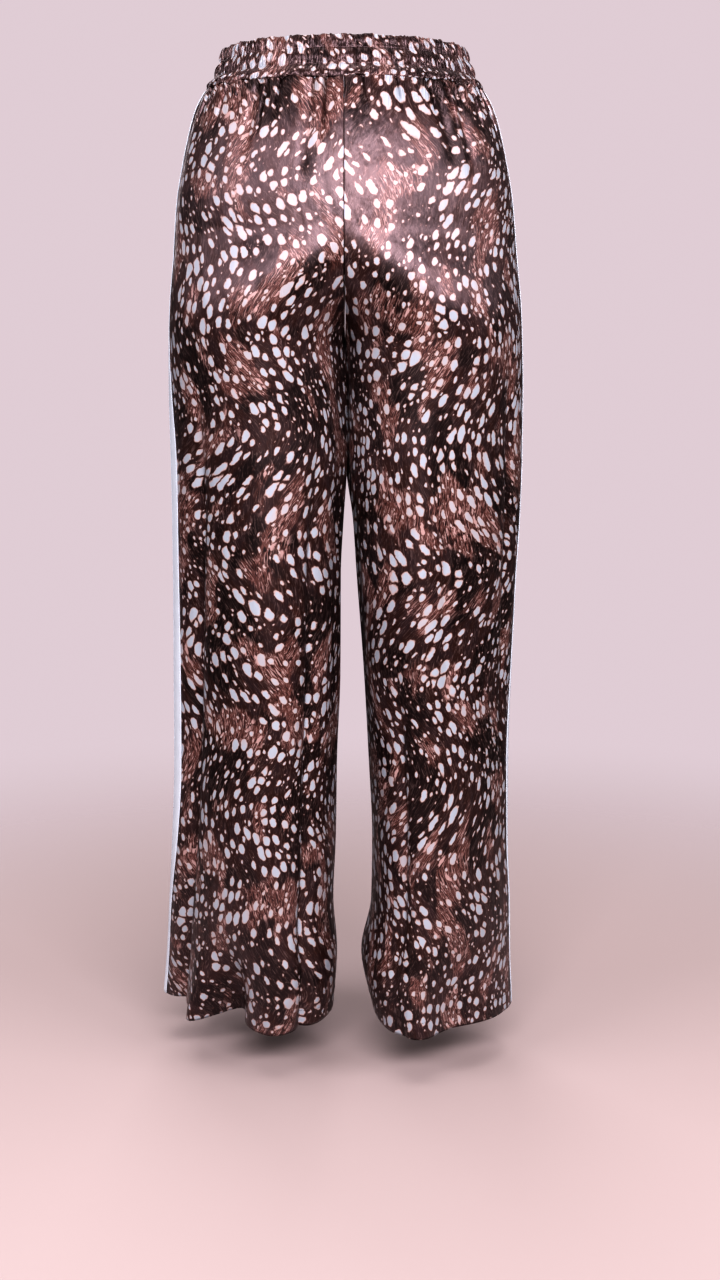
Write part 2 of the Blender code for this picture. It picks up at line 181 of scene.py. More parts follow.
# Each fold: turn, turn at the hem, depth, depth at the hem, half width, half width at the hem,
# drops where it starts and is full, creased or round. Depths above nought are troughs.
folds = {
    "left": (
        (0.280, 0.195, 0.0110, 0.0120, 0.0100, 0.0100, 0.26, 0.48, True),
        (0.340, 0.352, 0.0000, -0.0300, 0.0160, 0.0160, 0.82, 0.92, False),
        (0.420, 0.418, 0.0000, 0.0330, 0.0240, 0.0190, 0.80, 0.90, False),
        (0.640, 0.615, -0.0020, -0.0080, 0.0260, 0.0220, 0.66, 0.84, False),
        (0.755, 0.740, 0.0100, 0.0120, 0.0090, 0.0110, 0.36, 0.54, True),
        (0.940, 0.940, -0.0040, 0.0000, 0.0120, 0.0120, 0.28, 0.34, False),
        (-0.26, -0.24, 0.0090, 0.0140, 0.0110, 0.0130, 0.28, 0.55, True),
        (-0.70, -0.74, 0.0100, 0.0150, 0.0110, 0.0130, 0.34, 0.56, True),
        (-0.47, -0.50, -0.0060, -0.0180, 0.0260, 0.0260, 0.40, 0.70, False),
    ),
    "right": (
        (0.695, 0.710, 0.0100, 0.0060, 0.0090, 0.0110, 0.54, 0.76, True),
        (0.620, 0.630, -0.0030, -0.0020, 0.0180, 0.0220, 0.60, 0.84, False),
        (0.475, 0.475, 0.0045, 0.0000, 0.0090, 0.0120, 0.30, 0.46, True),
        (0.430, 0.445, 0.0000, 0.0190, 0.0280, 0.0360, 0.70, 0.90, False),
        (0.190, 0.140, 0.0060, 0.0000, 0.0080, 0.0100, 0.26, 0.40, True),
        (0.940, 0.940, 0.0030, 0.0000, 0.0120, 0.0120, 0.28, 0.34, False),
        (-0.30, -0.28, 0.0090, 0.0140, 0.0110, 0.0130, 0.30, 0.56, True),
        (-0.66, -0.70, 0.0100, 0.0140, 0.0110, 0.0130, 0.32, 0.54, True),
        (-0.48, -0.46, -0.0060, -0.0180, 0.0260, 0.0260, 0.42, 0.72, False),
    ),
}

tucks = {
    "perPanel": 6,
    "depth": 0.0026,
    "halfWidth": 0.0065,
    "length": 0.040,
    "pinch": 0.25,  # share of the depth left at the seam, which holds the tucks flat
    "opening": 0.014,  # below the seam, where they have opened
    "puff": 0.0013,  # how far the cloth swells out under the waistband's seam
    "puffLength": 0.004,
    # a pressed tuck falls steeply on one side of its line and slowly on the other
    "pressedDepth": 0.8,
    "steepSide": 3.0,
    "slowSide": 0.45,
    # the plainest ones on the seat: turn, depth, half width, length
    "seatLeft": ((0.86, 0.0046, 0.0055, 0.055), (0.60, 0.0034, 0.0050, 0.045)),
    "seatRight": ((0.57, 0.0046, 0.0055, 0.045), (0.46, 0.0044, 0.0055, 0.055)),
}
# Sharp tucks pressed in below the waistband seam: turn, depth, half width, length.
pressedTucks = {
    "left": (
        (0.918, 0.0056, 0.0020, 0.066),
        (0.868, 0.0030, 0.0016, 0.036),
        (0.712, 0.0030, 0.0016, 0.042),
        (0.652, 0.0040, 0.0019, 0.056),
        (0.604, 0.0026, 0.0016, 0.032),
        (0.500, 0.0022, 0.0015, 0.026),
        (0.395, 0.0034, 0.0018, 0.048),
        (0.300, 0.0022, 0.0015, 0.030),
        (0.210, 0.0030, 0.0017, 0.040),
        (-0.150, 0.0030, 0.0017, 0.036),
        (-0.400, 0.0036, 0.0018, 0.050),
        (-0.570, 0.0028, 0.0016, 0.034),
        (-0.730, 0.0038, 0.0018, 0.056),
        (-0.900, 0.0030, 0.0017, 0.038),
    ),
    "right": (
        (0.915, 0.0026, 0.0016, 0.028),
        (0.765, 0.0028, 0.0016, 0.036),
        (0.606, 0.0042, 0.0019, 0.046),
        (0.514, 0.0044, 0.0019, 0.058),
        (0.420, 0.0024, 0.0015, 0.030),
        (0.330, 0.0034, 0.0017, 0.050),
        (0.240, 0.0024, 0.0015, 0.034),
        (0.160, 0.0030, 0.0017, 0.058),
        (-0.130, 0.0030, 0.0017, 0.042),
        (-0.340, 0.0036, 0.0018, 0.034),
        (-0.520, 0.0028, 0.0016, 0.052),
        (-0.700, 0.0034, 0.0017, 0.040),
        (-0.880, 0.0036, 0.0018, 0.054),
    ),
}


def sizesAt(leg, drop):
    form = legForm[leg]
    drops = hipForm["drop"] + legDrops
    return {name: smoothColumn(drops, hipForm[name] + form[name], drop) for name in hipForm if name != "drop"}


def seamTurnAt(leg, drop):
    form = legForm[leg]
    return smoothColumn(hipForm["drop"] + legDrops, form["hipSeamTurn"] + form["seamTurn"], drop)


def plainPoint(leg, turn, drop):
    size = sizesAt(leg, drop)
    t = np.clip((drop - garment["seatDrop"]) / (garment["crotchDrop"] - garment["seatDrop"]), 0, 1)
    share = np.sin(np.pi / 2 * t ** garment["crotchCurve"])
    depth = np.where(turn > 0, size["back"], size["front"])
    angle = turn * np.arccos(-share)
    inner = size["inner"] * share
    across = (share + np.cos(angle)) / (1 + share)
    fullness = 1 - size["sideFlat"] * across**2 + size["innerFull"] * share * (1 - across) ** 2
    x = inner + (size["outer"] - inner) * across
    y = depth * np.sin(angle) * fullness + size["sideBack"] * across
    return np.stack(np.broadcast_arrays(x, y, garment["bandTop"] - drop), axis=-1)


def outward(surface, leg, turn, drop, reach=0.003):
    high = np.minimum(drop + reach, garment["hemDrop"])
    low = np.maximum(drop - reach, garment["seamDrop"])
    across = surface(leg, turn + reach, drop) - surface(leg, turn - reach, drop)
    down = surface(leg, turn, high) - surface(leg, turn, low)
    normal = np.cross(down, across)
    return normal / np.linalg.norm(normal, axis=-1, keepdims=True)


def foldDepth(leg, turn, drop):
    size = sizesAt(leg, drop)
    halfGirth = np.pi * (size["outer"] - size["inner"] + size["back"] + size["front"]) / 4
    depth = 0
    for at, hemAt, deep, hemDeep, wide, hemWide, start, full, creased in folds[leg]:
        way = np.clip((drop - full) / (garment["hemDrop"] - full), 0, 1)
        off = (turn - at - (hemAt - at) * way) * halfGirth / (wide + (hemWide - wide) * way)
        form = np.exp(0.3 - np.sqrt(off * off + 0.09)) if creased else np.exp(-off * off)
        depth = depth + (deep * ease((drop - start) / (full - start)) + (hemDeep - deep) * ease(way)) * form
    return depth


def tuckDepth(leg, turn, drop):
    size = sizesAt(leg, drop)
    quarterGirth = (size["outer"] + np.where(turn > 0, size["back"], size["front"])) * np.pi / 4
    down = drop - garment["seamDrop"]
    pinch = tucks["pinch"] + (1 - tucks["pinch"]) * ease(down / tucks["opening"])
    depth = 0
    for k in range(tucks["perPanel"]):
        uneven = np.sin(2.4 * k + np.where(turn > 0, 0.7, 2.1) + (0.0 if leg == "left" else 1.3))
        at = (k + 0.5 + 0.25 * uneven) / tucks["perPanel"]
        deep = tucks["depth"] * (1 - 0.4 * uneven) * np.exp(-down / (tucks["length"] * (1 + 0.5 * uneven)))
        depth = depth + deep * np.exp(-(((np.abs(turn) - at) * quarterGirth / tucks["halfWidth"]) ** 2))
    for at, deep, wide, length in tucks["seatLeft" if leg == "left" else "seatRight"]:
        depth = depth + deep * ease(2 - down / length) * np.exp(-(((turn - at) * quarterGirth / wide) ** 2))
    depth = depth * pinch
    for at, deep, wide, length in pressedTucks[leg]:
        off = (turn - at) * quarterGirth / wide
        fade = ease(1.6 - down / length * 1.6)
        slope = np.where(off > 0, tucks["slowSide"], tucks["steepSide"])
        pressed = np.exp(-np.abs(off) * slope) + 1.2 * np.exp(-3 * off * off)
        depth = depth + tucks["pressedDepth"] * deep * fade * pressed
    return depth


waves = {
    "depth": 0.0011,
    "seed": {"left": 7, "right": 8},
    "start": 0.06,  # drop where they start, and how far below it they are full
    "growth": 0.20,
}


def slightWaves(leg, turn, drop):  # no cloth hangs quite flat
    seed = waves["seed"][leg]
    broad = softNoise((turn + 2) * 7, drop / 0.13, seed)
    narrow = softNoise((turn + 2) * 17, drop / 0.22, seed + 2)
    return waves["depth"] * (broad + 0.5 * narrow) * ease((drop - waves["start"]) / waves["growth"])


def clothPoint(leg, turn, drop, tucked=True):
    sunk = foldDepth(leg, turn, drop) + slightWaves(leg, turn, drop)
    if tucked:
        sunk = sunk + tuckDepth(leg, turn, drop)
    sunk = sunk * ease((1 - np.abs(turn)) / garment["seamCalm"])
    sunk = sunk - tucks["puff"] * np.exp(-(drop - garment["seamDrop"]) / tucks["puffLength"])
    return plainPoint(leg, turn, drop) - outward(plainPoint, leg, turn, drop) * sunk[..., None]


def turnBeside(leg, start, distance, drop):
    step = 0.002
    chord = plainPoint(leg, start + step, drop) - plainPoint(leg, start - step, drop)
    return start + distance * 2 * step / np.linalg.norm(chord, axis=-1)


patchEdge = (0.50, 0.57)  # noise at which the near-black patches start and are full

# The print, drawn on the flat cut in metres.
satinPrint = {
    "ground": "#22130F",  # dark brown
    "groundCool": "#23191A",
    "blackPatch": "#070505",
    "redFur": "#6F4C45",
    "strand": "#AC9793",  # single pale hairs
    "halo": "#3E231B",
    "streak": "#A88E8A",  # long pink flecks in the red fur
    "rim": "#AE9C97",
    "spot": "#9DA8B2",
    # printed from the ground up: colour, what it follows, where that starts and is full, and how
    # strong it is outside the fur and how much the fur adds
    "layers": (
        ("groundCool", "mottle", 0.35, 0.65, 1.0, 0.0),
        ("blackPatch", "patches", *patchEdge, 1.0, 0.0),
        ("redFur", "hair", 0.36, 0.60, 0.06, 0.80),
        ("strand", "hair", 0.55, 0.66, 0.14, 0.62),
        ("halo", "spotDepth", -0.14, -0.03, 0.6, 0.0),
        ("streak", "streakDepth", -0.03, 0.04, 0.0, 1.0),
        ("rim", "spotDepth", -0.055, 0.012, 1.0, 0.0),
        ("spot", "spotDepth", 0.0, 0.065, 1.0, -0.35),
    ),
    # kinds of spot: its share of ground across and down in metres, smallest and largest radius as a
    # share of that, least half gap between two, where the pattern starts, and its lean in radians
    "spots": ((0.0122, 0.0176), (0.14, 0.45), 0.085, 0.0, 0.0),
    "dots": ((0.0072, 0.0100), (-0.22, 0.26), 0.05, 9.1, 0.0),
    "streaksLeft": ((0.0075, 0.0230), (-0.08, 0.27), 0.06, 3.7, 0.60),
    "streaksRight": ((0.0075, 0.0230), (-0.08, 0.27), 0.06, 6.1, -0.40),
    "smallShare": 1.6,  # above 1 there are more small spots than large ones
    "scatter": 0.80,  # 0 would set the spots in a grid
    "dotRoom": 0.24,  # how near a large spot a dot starts to shrink, and how fast it does
    "dotShrink": 2.5,
    # lumps of noise: width and height in metres, detail, where the pattern starts
    "lean": ((0.30, 0.14), 0.0, 0.0),
    "rise": ((0.14, 0.24), 0.0, 4.7),
    "stray": ((0.0070, 0.0080), 1.0, 0.0),
    "fray": ((0.0024, 0.0026), 1.0, 3.1),
    "patches": ((0.055, 0.070), 1.0, 2.3),
    "fur": ((0.038, 0.070), 2.0, 7.9),
    "crowd": ((0.050, 0.060), 0.0, 5.1),
    "hairLean": ((0.11, 0.13), 0.0, 8.8),
    "hairLeft": ((0.0013, 0.0085), 3.0, 0.0),
    "hairRight": ((0.0013, 0.0085), 3.0, 5.5),
    "mottle": ((0.012, 0.020), 3.0, 1.9),
    "threads": ((0.0008, 0.0060), 1.0, 0.0),
    "gathers": ((0.0034, 0.060), 1.0, 6.2),
    "creases": ((0.012, 0.034), 3.0, 3.3),
    "furEdge": (0.53, 0.63),  # noise at which the fur starts and is full
    "leanEdge": (0.47, 0.53),  # and at which its hairs change from one lean to the other
    "hairTilts": {"hairLeft": 0.25, "hairRight": -0.45},  # radians
    "leanBy": 0.050,  # how far the rows of spots lean to and fro, in metres
    "strayBy": 0.0017,
    "frayBy": 0.0005,
    "crowdBy": 0.22,  # how much the spots grow and shrink from place to place
    "patchShrink": 0.09,  # and how much smaller they are in the black patches and in the fur
    "furShrink": 0.05,
    "gatherFade": (-0.050, 0.004),  # where on the cut the gathers have run out and where they are full
    # heights in metres; the threads are drawn much too coarse, as real ones are too fine to show
    "relief": {"threads": 0.00006, "gathers": 0.0040, "creases": 0.0010},
    "gloss": "#F6DCE2",
    "roughness": 0.38,
    "threadSpread": 0.75,
    "wrongSideRoughness": 0.62,
    "wrongSideSpread": 0.2,
}
smooth = {"interpolation_type": "SMOOTHSTEP"}


def printNoise(tree, place, kind, **inputs):
    (width, height), detail, offset = satinPrint[kind]
    stretch = {"Vector": place, "Location": (offset, offset * 0.6, 0), "Scale": (1 / width, 1 / height, 1)}
    stretched = addNode(tree, "ShaderNodeMapping", stretch)
    settings = {"Vector": stretched, "Scale": 1.0, "Detail": detail, **inputs}
    return addNode(tree, "ShaderNodeTexNoise", settings, noise_dimensions="2D")


def printSpots(tree, place, kind, grow=0.0):
    # how far inside a spot a place lies, as a share of the spot's cell: above nought is inside
    (width, height), (small, large), gap, offset, tilt = satinPrint[kind]
    turned = addNode(tree, "ShaderNodeMapping", {"Vector": place, "Rotation": (0, 0, tilt)})
    stretch = {"Vector": turned, "Location": (offset, offset * 0.7, 0), "Scale": (1 / width, 1 / height, 1)}
    stretched = addNode(tree, "ShaderNodeMapping", stretch)
    cells = {"Vector": stretched, "Scale": 1.0, "Randomness": satinPrint["scatter"]}
    nearest = addNode(tree, "ShaderNodeTexVoronoi", cells, voronoi_dimensions="2D")
    second = addNode(tree, "ShaderNodeTexVoronoi", cells, voronoi_dimensions="2D", feature="F2")
    chance = addNode(tree, "ShaderNodeSeparateColor", {"Color": nearest.outputs["Color"]})
    uneven = addNode(tree, "ShaderNodeMath", {0: chance, 1: satinPrint["smallShare"]}, operation="POWER")
    radius = addNode(tree, "ShaderNodeMapRange", {"Value": uneven, "To Min": small, "To Max": large})
    grown = addNode(tree, "ShaderNodeMath", {0: radius, 1: grow}, operation="ADD")
    inside = addNode(tree, "ShaderNodeMath", {0: grown, 1: nearest}, operation="SUBTRACT")
    between = addNode(tree, "ShaderNodeMath", {0: second, 1: nearest}, operation="SUBTRACT")
    clear = addNode(tree, "ShaderNodeMath", {0: between, 1: 0.5, 2: -gap}, operation="MULTIPLY_ADD")
    return addNode(tree, "ShaderNodeMath", {0: inside, 1: clear}, operation="MINIMUM")


def printPlaces(tree, cut):
    # the cut swayed, so that no row of spots runs straight, and then frayed, so that no spot is even
    p = satinPrint
    sway = {}
    for axis, kind, reach in (("X", "lean", p["leanBy"]), ("Y", "rise", p["leanBy"] / 2)):
        off = {"Value": printNoise(tree, cut, kind), "To Min": -reach, "To Max": reach}
        sway[axis] = addNode(tree, "ShaderNodeMapRange", off, clamp=False)
    off = addNode(tree, "ShaderNodeCombineXYZ", sway)
    swayed = addNode(tree, "ShaderNodeVectorMath", {0: cut, 1: off}, operation="ADD")
    frayed = swayed
    for kind, reach in (("stray", p["strayBy"]), ("fray", p["frayBy"])):
        colour = printNoise(tree, cut, kind).outputs["Color"]
        inputs = {0: colour, 1: (2 * reach,) * 3, 2: (-reach,) * 3}
        off = addNode(tree, "ShaderNodeVectorMath", inputs, operation="MULTIPLY_ADD")
        frayed = addNode(tree, "ShaderNodeVectorMath", {0: frayed, 1: off}, operation="ADD")
    return swayed, frayed


def allSpots(tree, frayed, grow):
    # large spots, with dots between them where there is room
    spots = printSpots(tree, frayed, "spots", grow)
    dots = printSpots(tree, frayed, "dots")
    near = addNode(tree, "ShaderNodeMath", {0: spots, 1: satinPrint["dotRoom"]}, operation="ADD")
    near = addNode(tree, "ShaderNodeMath", {0: near, 1: 0.0}, operation="MAXIMUM")
    inputs = {0: near, 1: -satinPrint["dotShrink"], 2: dots}
    dots = addNode(tree, "ShaderNodeMath", inputs, operation="MULTIPLY_ADD")
    dotShare = satinPrint["dots"][0][0] / satinPrint["spots"][0][0]  # to the scale of the large spots
    dots = addNode(tree, "ShaderNodeMath", {0: dots, 1: dotShare}, operation="MULTIPLY")
    return addNode(tree, "ShaderNodeMath", {0: spots, 1: dots}, operation="MAXIMUM")


def printColour(tree, cut):
    p = satinPrint
    swayed, frayed = printPlaces(tree, cut)
    patches = printNoise(tree, swayed, "patches")
    low, high = p["furEdge"]
    inputs = {"Value": printNoise(tree, swayed, "fur"), "From Min": low, "From Max": high}
    fur = addNode(tree, "ShaderNodeMapRange", inputs, **smooth)

    crowd = printNoise(tree, swayed, "crowd")
    inputs = {"Value": crowd, "To Min": -p["crowdBy"] / 2, "To Max": p["crowdBy"] / 2}
    grow = addNode(tree, "ShaderNodeMapRange", inputs, clamp=False)
    low, high = patchEdge
    inputs = {"Value": patches, "From Min": low, "From Max": high, "To Max": -p["patchShrink"]}
    shrink = addNode(tree, "ShaderNodeMapRange", inputs, **smooth)
    grow = addNode(tree, "ShaderNodeMath", {0: grow, 1: shrink}, operation="ADD")
    grow = addNode(tree, "ShaderNodeMath", {0: fur, 1: -p["furShrink"], 2: grow}, operation="MULTIPLY_ADD")

    # hairs and flecks lean one way in some places and the other way in others
    low, high = p["leanEdge"]
    inputs = {"Value": printNoise(tree, cut, "hairLean"), "From Min": low, "From Max": high}
    side = addNode(tree, "ShaderNodeMapRange", inputs, **smooth)
    flecks = [printSpots(tree, frayed, kind) for kind in ("streaksLeft", "streaksRight")]
    hairs = []
    for kind, tilt in p["hairTilts"].items():
        turned = addNode(tree, "ShaderNodeMapping", {"Vector": swayed, "Rotation": (0, 0, tilt)})
        hairs.append(printNoise(tree, turned, kind, Roughness=0.6, Distortion=0.8))

    followed = {
        "mottle": printNoise(tree, swayed, "mottle"),
        "patches": patches,
        "hair": addNode(tree, "ShaderNodeMix", {0: side, 1: hairs[0], 2: hairs[1]}),
        "streakDepth": addNode(tree, "ShaderNodeMix", {0: side, 1: flecks[0], 2: flecks[1]}),
        "spotDepth": allSpots(tree, frayed, grow),
    }
    colour = hexToLinear(p["ground"])
    for name, kind, low, high, plain, furred in p["layers"]:
        strength = addNode(tree, "ShaderNodeMath", {0: fur, 1: furred, 2: plain}, operation="MULTIPLY_ADD")
        inputs = {"Value": followed[kind], "From Min": low, "From Max": high, "To Max": strength}
        share = addNode(tree, "ShaderNodeMapRange", inputs, **smooth)
        inks = {0: share, 1: colour, 2: hexToLinear(p[name])}
        colour = addNode(tree, "ShaderNodeMix", inputs=inks, data_type="RGBA")
    return colour


def satinRelief(tree, cut):
    heights = {kind: printNoise(tree, cut, kind) for kind in satinPrint["relief"]}
    # the gathers are sharp in their valleys and fade out below the waistband
    off = addNode(tree, "ShaderNodeMath", {0: heights["gathers"], 1: 0.5}, operation="SUBTRACT")
    pleats = addNode(tree, "ShaderNodeMath", {0: off}, operation="ABSOLUTE")
    down = addNode(tree, "ShaderNodeSeparateXYZ", {"Vector": cut}).outputs["Y"]
    low, high = satinPrint["gatherFade"]
    inputs = {"Value": down, "From Min": low, "From Max": high}
    near = addNode(tree, "ShaderNodeMapRange", inputs, **smooth)
    heights["gathers"] = addNode(tree, "ShaderNodeMath", {0: pleats, 1: near}, operation="MULTIPLY")
    below = {}
    for kind, height in satinPrint["relief"].items():
        relief = addNode(tree, "ShaderNodeBump", {"Height": heights[kind], "Distance": height, **below})
        below = {"Normal": relief}
    return relief


def makeSatin(name, roughness, spread):
    # satin weave polyester, printed: long floating threads give a soft, wide gloss over flat ink colours
    material = bpy.data.materials.new(name)
    material.use_nodes = True
    tree = material.node_tree
    cut = addNode(tree, "ShaderNodeUVMap", uv_map="cut")
    look = {
        "Base Color": printColour(tree, cut),
        "Normal": satinRelief(tree, cut),
        # the floating threads run down the leg and spread the gloss across it
        "Tangent": addNode(tree, "ShaderNodeTangent", direction_type="UV_MAP", uv_map="cut"),
        "Anisotropic": spread,
        "Roughness": roughness,
        "Specular Tint": hexToLinear(satinPrint["gloss"]),
        "IOR": 1.55,
    }
    setInputs(tree.nodes["Principled BSDF"], look)
    return material


sideTape = {
    "colour": "#E2EFF9",
    "width": 0.022,
    "thickness": 0.0007,
    "roughness": 0.45,
    "ribPitch": 0.0011,
    "ribHeight": 0.00012,
    # points from the middle to each edge, and how high the tape lies there: its edges are rounded
    "across": (0, 0.27, 0.55, 0.8, 0.94, 0.985, 1),
    "height": (1, 1, 1, 1, 1, 0.95, 0.8),
}


def makeTapeCloth():
    # grosgrain ribbon: close crosswise ribs, even dye, a dull shine
    material = bpy.data.materials.new("grosgrainTape")
    material.use_nodes = True
    tree = material.node_tree
    cut = addNode(tree, "ShaderNodeUVMap", uv_map="cut")
    weave = {"Vector": cut, "Scale": 1 / sideTape["ribPitch"] / 3.14, "Distortion": 0.6}
    ribs = addNode(tree, "ShaderNodeTexWave", weave, bands_direction="Y")
    clouds = {"Vector": cut, "Scale": 60, "Detail": 3.0}
    uneven = addNode(tree, "ShaderNodeTexNoise", clouds, noise_dimensions="2D")
    tone = addNode(tree, "ShaderNodeMapRange", {"Value": uneven, "To Min": 0.90, "To Max": 1.04})
    dyed = {0: hexToLinear(sideTape["colour"])[:3], "Scale": tone}
    look = {
        "Base Color": addNode(tree, "ShaderNodeVectorMath", dyed, operation="SCALE"),
        "Normal": addNode(tree, "ShaderNodeBump", {"Height": ribs, "Distance": sideTape["ribHeight"]}),
        "Roughness": sideTape["roughness"],
        "IOR": 1.50,
    }
    setInputs(tree.nodes["Principled BSDF"], look)
    return material


def makeThread(name, hexColour):
    # spun polyester sewing thread: matt, slightly uneven
    material = bpy.data.materials.new(name)
    material.use_nodes = True
    tree = material.node_tree
    place = addNode(tree, "ShaderNodeTexCoord").outputs["Object"]
    twist = addNode(tree, "ShaderNodeTexNoise", {"Vector": place, "Scale": 2500, "Detail": 1.0})
    tone = addNode(tree, "ShaderNodeMapRange", {"Value": twist, "To Min": 0.7, "To Max": 1.2})
    dyed = {0: hexToLinear(hexColour)[:3], "Scale": tone}
    colour = addNode(tree, "ShaderNodeVectorMath", dyed, operation="SCALE")
    setInputs(tree.nodes["Principled BSDF"], {"Base Color": colour, "Roughness": 0.7})
    return material


satin = makeSatin("printedSatin", satinPrint["roughness"], satinPrint["threadSpread"])
satinWrongSide = makeSatin(
    "printedSatinWrongSide", satinPrint["wrongSideRoughness"], satinPrint["wrongSideSpread"]
)
tapeCloth = makeTapeCloth()
brownThread = makeThread("brownThread", "#3A2823")
whiteThread = makeThread("whiteThread", "#CBD6E0")
print("materials made")


# The panels, and how their rows and columns are laid.
panel = {
    "columns": 226,
    "edgeSteps": (0.00015, 0.0006, 0.0013, 0.0024),  # first columns in from a seam, in metres
    "sideSink": (0.0011, 0.0005, 0.0002, 0.0),  # how far the cloth rolls into the side seam there
    "innerSink": (0.0006, 0.0002, 0.0, 0.0),  # and into the centre seam and inseam
    "allowance": 0.007,  # seam allowance turned in
    "hemTurn": 0.020,  # hem allowance turned up
    "foldCrowding": 0.006,  # metres of width that a radian of bend is worth when columns are shared out
    "rows": (  # drops from and to, and how many rows between them
        (0.0403, 0.062, 16),
        (0.062, 0.110, 20),
        (0.110, 0.300, 34),
        (0.300, 0.996, 84),
        (0.996, 1.020, 8),
    ),
    "grainLine": 0.090,  # distance from the centre line to the panel's grain line
    "gatheredCut": 0.08,  # extra cloth that the waist seam takes up
    "gatheredLength": 0.05,
    # places of the four panels on the printed roll
    "uvShift": {"back_left": 0.0, "back_right": 1.3, "front_left": 2.6, "front_right": 3.9},
}
sideSign = {"left": 1, "right": -1}
panelTurn = {"back": 1, "front": -1}


def rowDrops():
    parts = [np.linspace(start, end, count, endpoint=False) for start, end, count in panel["rows"]]
    return np.concatenate(parts + [[panel["rows"][-1][1]]])


def panelTurns(leg, side, drops):
    sign = panelTurn[side]
    seam = seamTurnAt(leg, drops)
    inner = np.full_like(drops, sign)
    fromSeam = [turnBeside(leg, seam, sign * step, drops) for step in panel["edgeSteps"]]
    fromInner = [turnBeside(leg, inner, -sign * step, drops) for step in panel["edgeSteps"]][::-1]
    part = np.linspace(0, 1, 961)
    fine = fromSeam[-1][:, None] + (fromInner[0] - fromSeam[-1])[:, None] * part
    steps = np.diff(clothPoint(leg, fine, drops[:, None]), axis=1)
    costs = np.linalg.norm(steps, axis=-1)
    bends = (steps[:, 1:] * steps[:, :-1]).sum(axis=-1) / (costs[:, 1:] * costs[:, :-1])
    costs[:, 1:] += panel["foldCrowding"] * np.arccos(np.clip(bends, -1, 1))
    shared = []
    for row, cost in zip(fine, costs):
        total = np.concatenate(((0,), np.cumsum(cost)))
        shared.append(np.interp(np.linspace(0, total[-1], panel["columns"] - 6), total, row))
    return np.column_stack(fromSeam[:-1] + [np.array(shared)] + fromInner[1:])


def cutMap(points, drops, shift):
    # flat coordinates of the cut, in metres: across from the grain line, down along it
    across = np.linalg.norm(np.diff(points, axis=1), axis=-1)
    across = np.concatenate((np.zeros((len(points), 1)), np.cumsum(across, axis=1)), axis=1)
    atGrain = np.array([np.interp(-panel["grainLine"], -row[:, 0], run) for row, run in zip(points, across)])
    grain = np.array([
        [np.interp(at, run, row[:, k]) for k in range(3)] for at, run, row in zip(atGrain, across, points)
    ])
    gathered = panel["gatheredCut"] * np.exp(-(drops[:, None] - drops[0]) / panel["gatheredLength"])
    across = (across - atGrain[:, None]) * (1 + gathered)
    down = np.concatenate(((0,), np.cumsum(np.linalg.norm(np.diff(grain, axis=0), axis=-1))))
    down = np.repeat(down[:, None], points.shape[1], axis=1)
    return np.stack((across + shift, -down), axis=-1)


def turnUpHem(points, normals, uv, drops):  # the lowest rows again, inside and upwards
    up = np.searchsorted(drops, garment["hemDrop"] - panel["hemTurn"])
    turned = slice(len(drops) - 2, up - 1, -1)
    inside = points[turned] - normals[turned] * (2 * garment["clothThickness"] + 0.0002)
    inside = inside + (0, 0, 0.0003)
    folded = uv[turned] * (1, -1) + (0, 2 * uv[-1, 0, 1])
    grids = ((points, inside), (normals, -normals[turned]), (uv, folded))
    return [np.concatenate(pair) for pair in grids]


def turnInEdges(points, normals, uv, drops):  # the allowances, straight in from both long edges
    onHem = (np.arange(len(points)) >= len(drops))[:, None, None]
    inward = np.where(onHem, -0.2, 1) * panel["allowance"] * normals
    first, last = (points[:, [edge]] - inward[:, [edge]] for edge in (0, -1))
    added = (panel["allowance"], 0)
    uv = np.concatenate((uv[:, :1] - added, uv, uv[:, -1:] + added), axis=1)
    return np.concatenate((first, points, last), axis=1), uv


def makePanel(leg, side):
    name = f"{side}_{leg}"
    drops = rowDrops()
    turns = panelTurns(leg, side, drops)
    points = clothPoint(leg, turns, drops[:, None])
    normals = outward(clothPoint, leg, turns, drops[:, None], 0.001)
    uv = cutMap(clothPoint(leg, turns, drops[:, None], tucked=False), drops, panel["uvShift"][name])
    sink = np.zeros(points.shape[1])
    sink[:4] = panel["sideSink"]
    sink[-4:] = panel["innerSink"][::-1]
    points = points - normals * sink[None, :, None]
    points, normals, uv = turnUpHem(points, normals, uv, drops)
    points, uv = turnInEdges(points, normals, uv, drops)
    points = points * (sideSign[leg], 1, 1)
    mirrored = sideSign[leg] * panelTurn[side] < 0
    made = meshFromGrid(f"{name}_cloth", points, uv, (satin, satinWrongSide), flip=mirrored)
    thicken = made.modifiers.new("thickness", "SOLIDIFY")
    thicken.thickness = garment["clothThickness"]
    thicken.offset = -1
    thicken.material_offset = 1
    thicken.material_offset_rim = 0
    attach(made, "root")
    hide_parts(name)
    width = uv[..., 0].max() - uv[..., 0].min()
    print(name, "cut", round(width, 3), round(-uv[..., 1].min(), 3), "points", points.shape)
    return made


panels = {f"{side}_{leg}": makePanel(leg, side) for leg in legForm for side in panelTurn}
print("panels made")


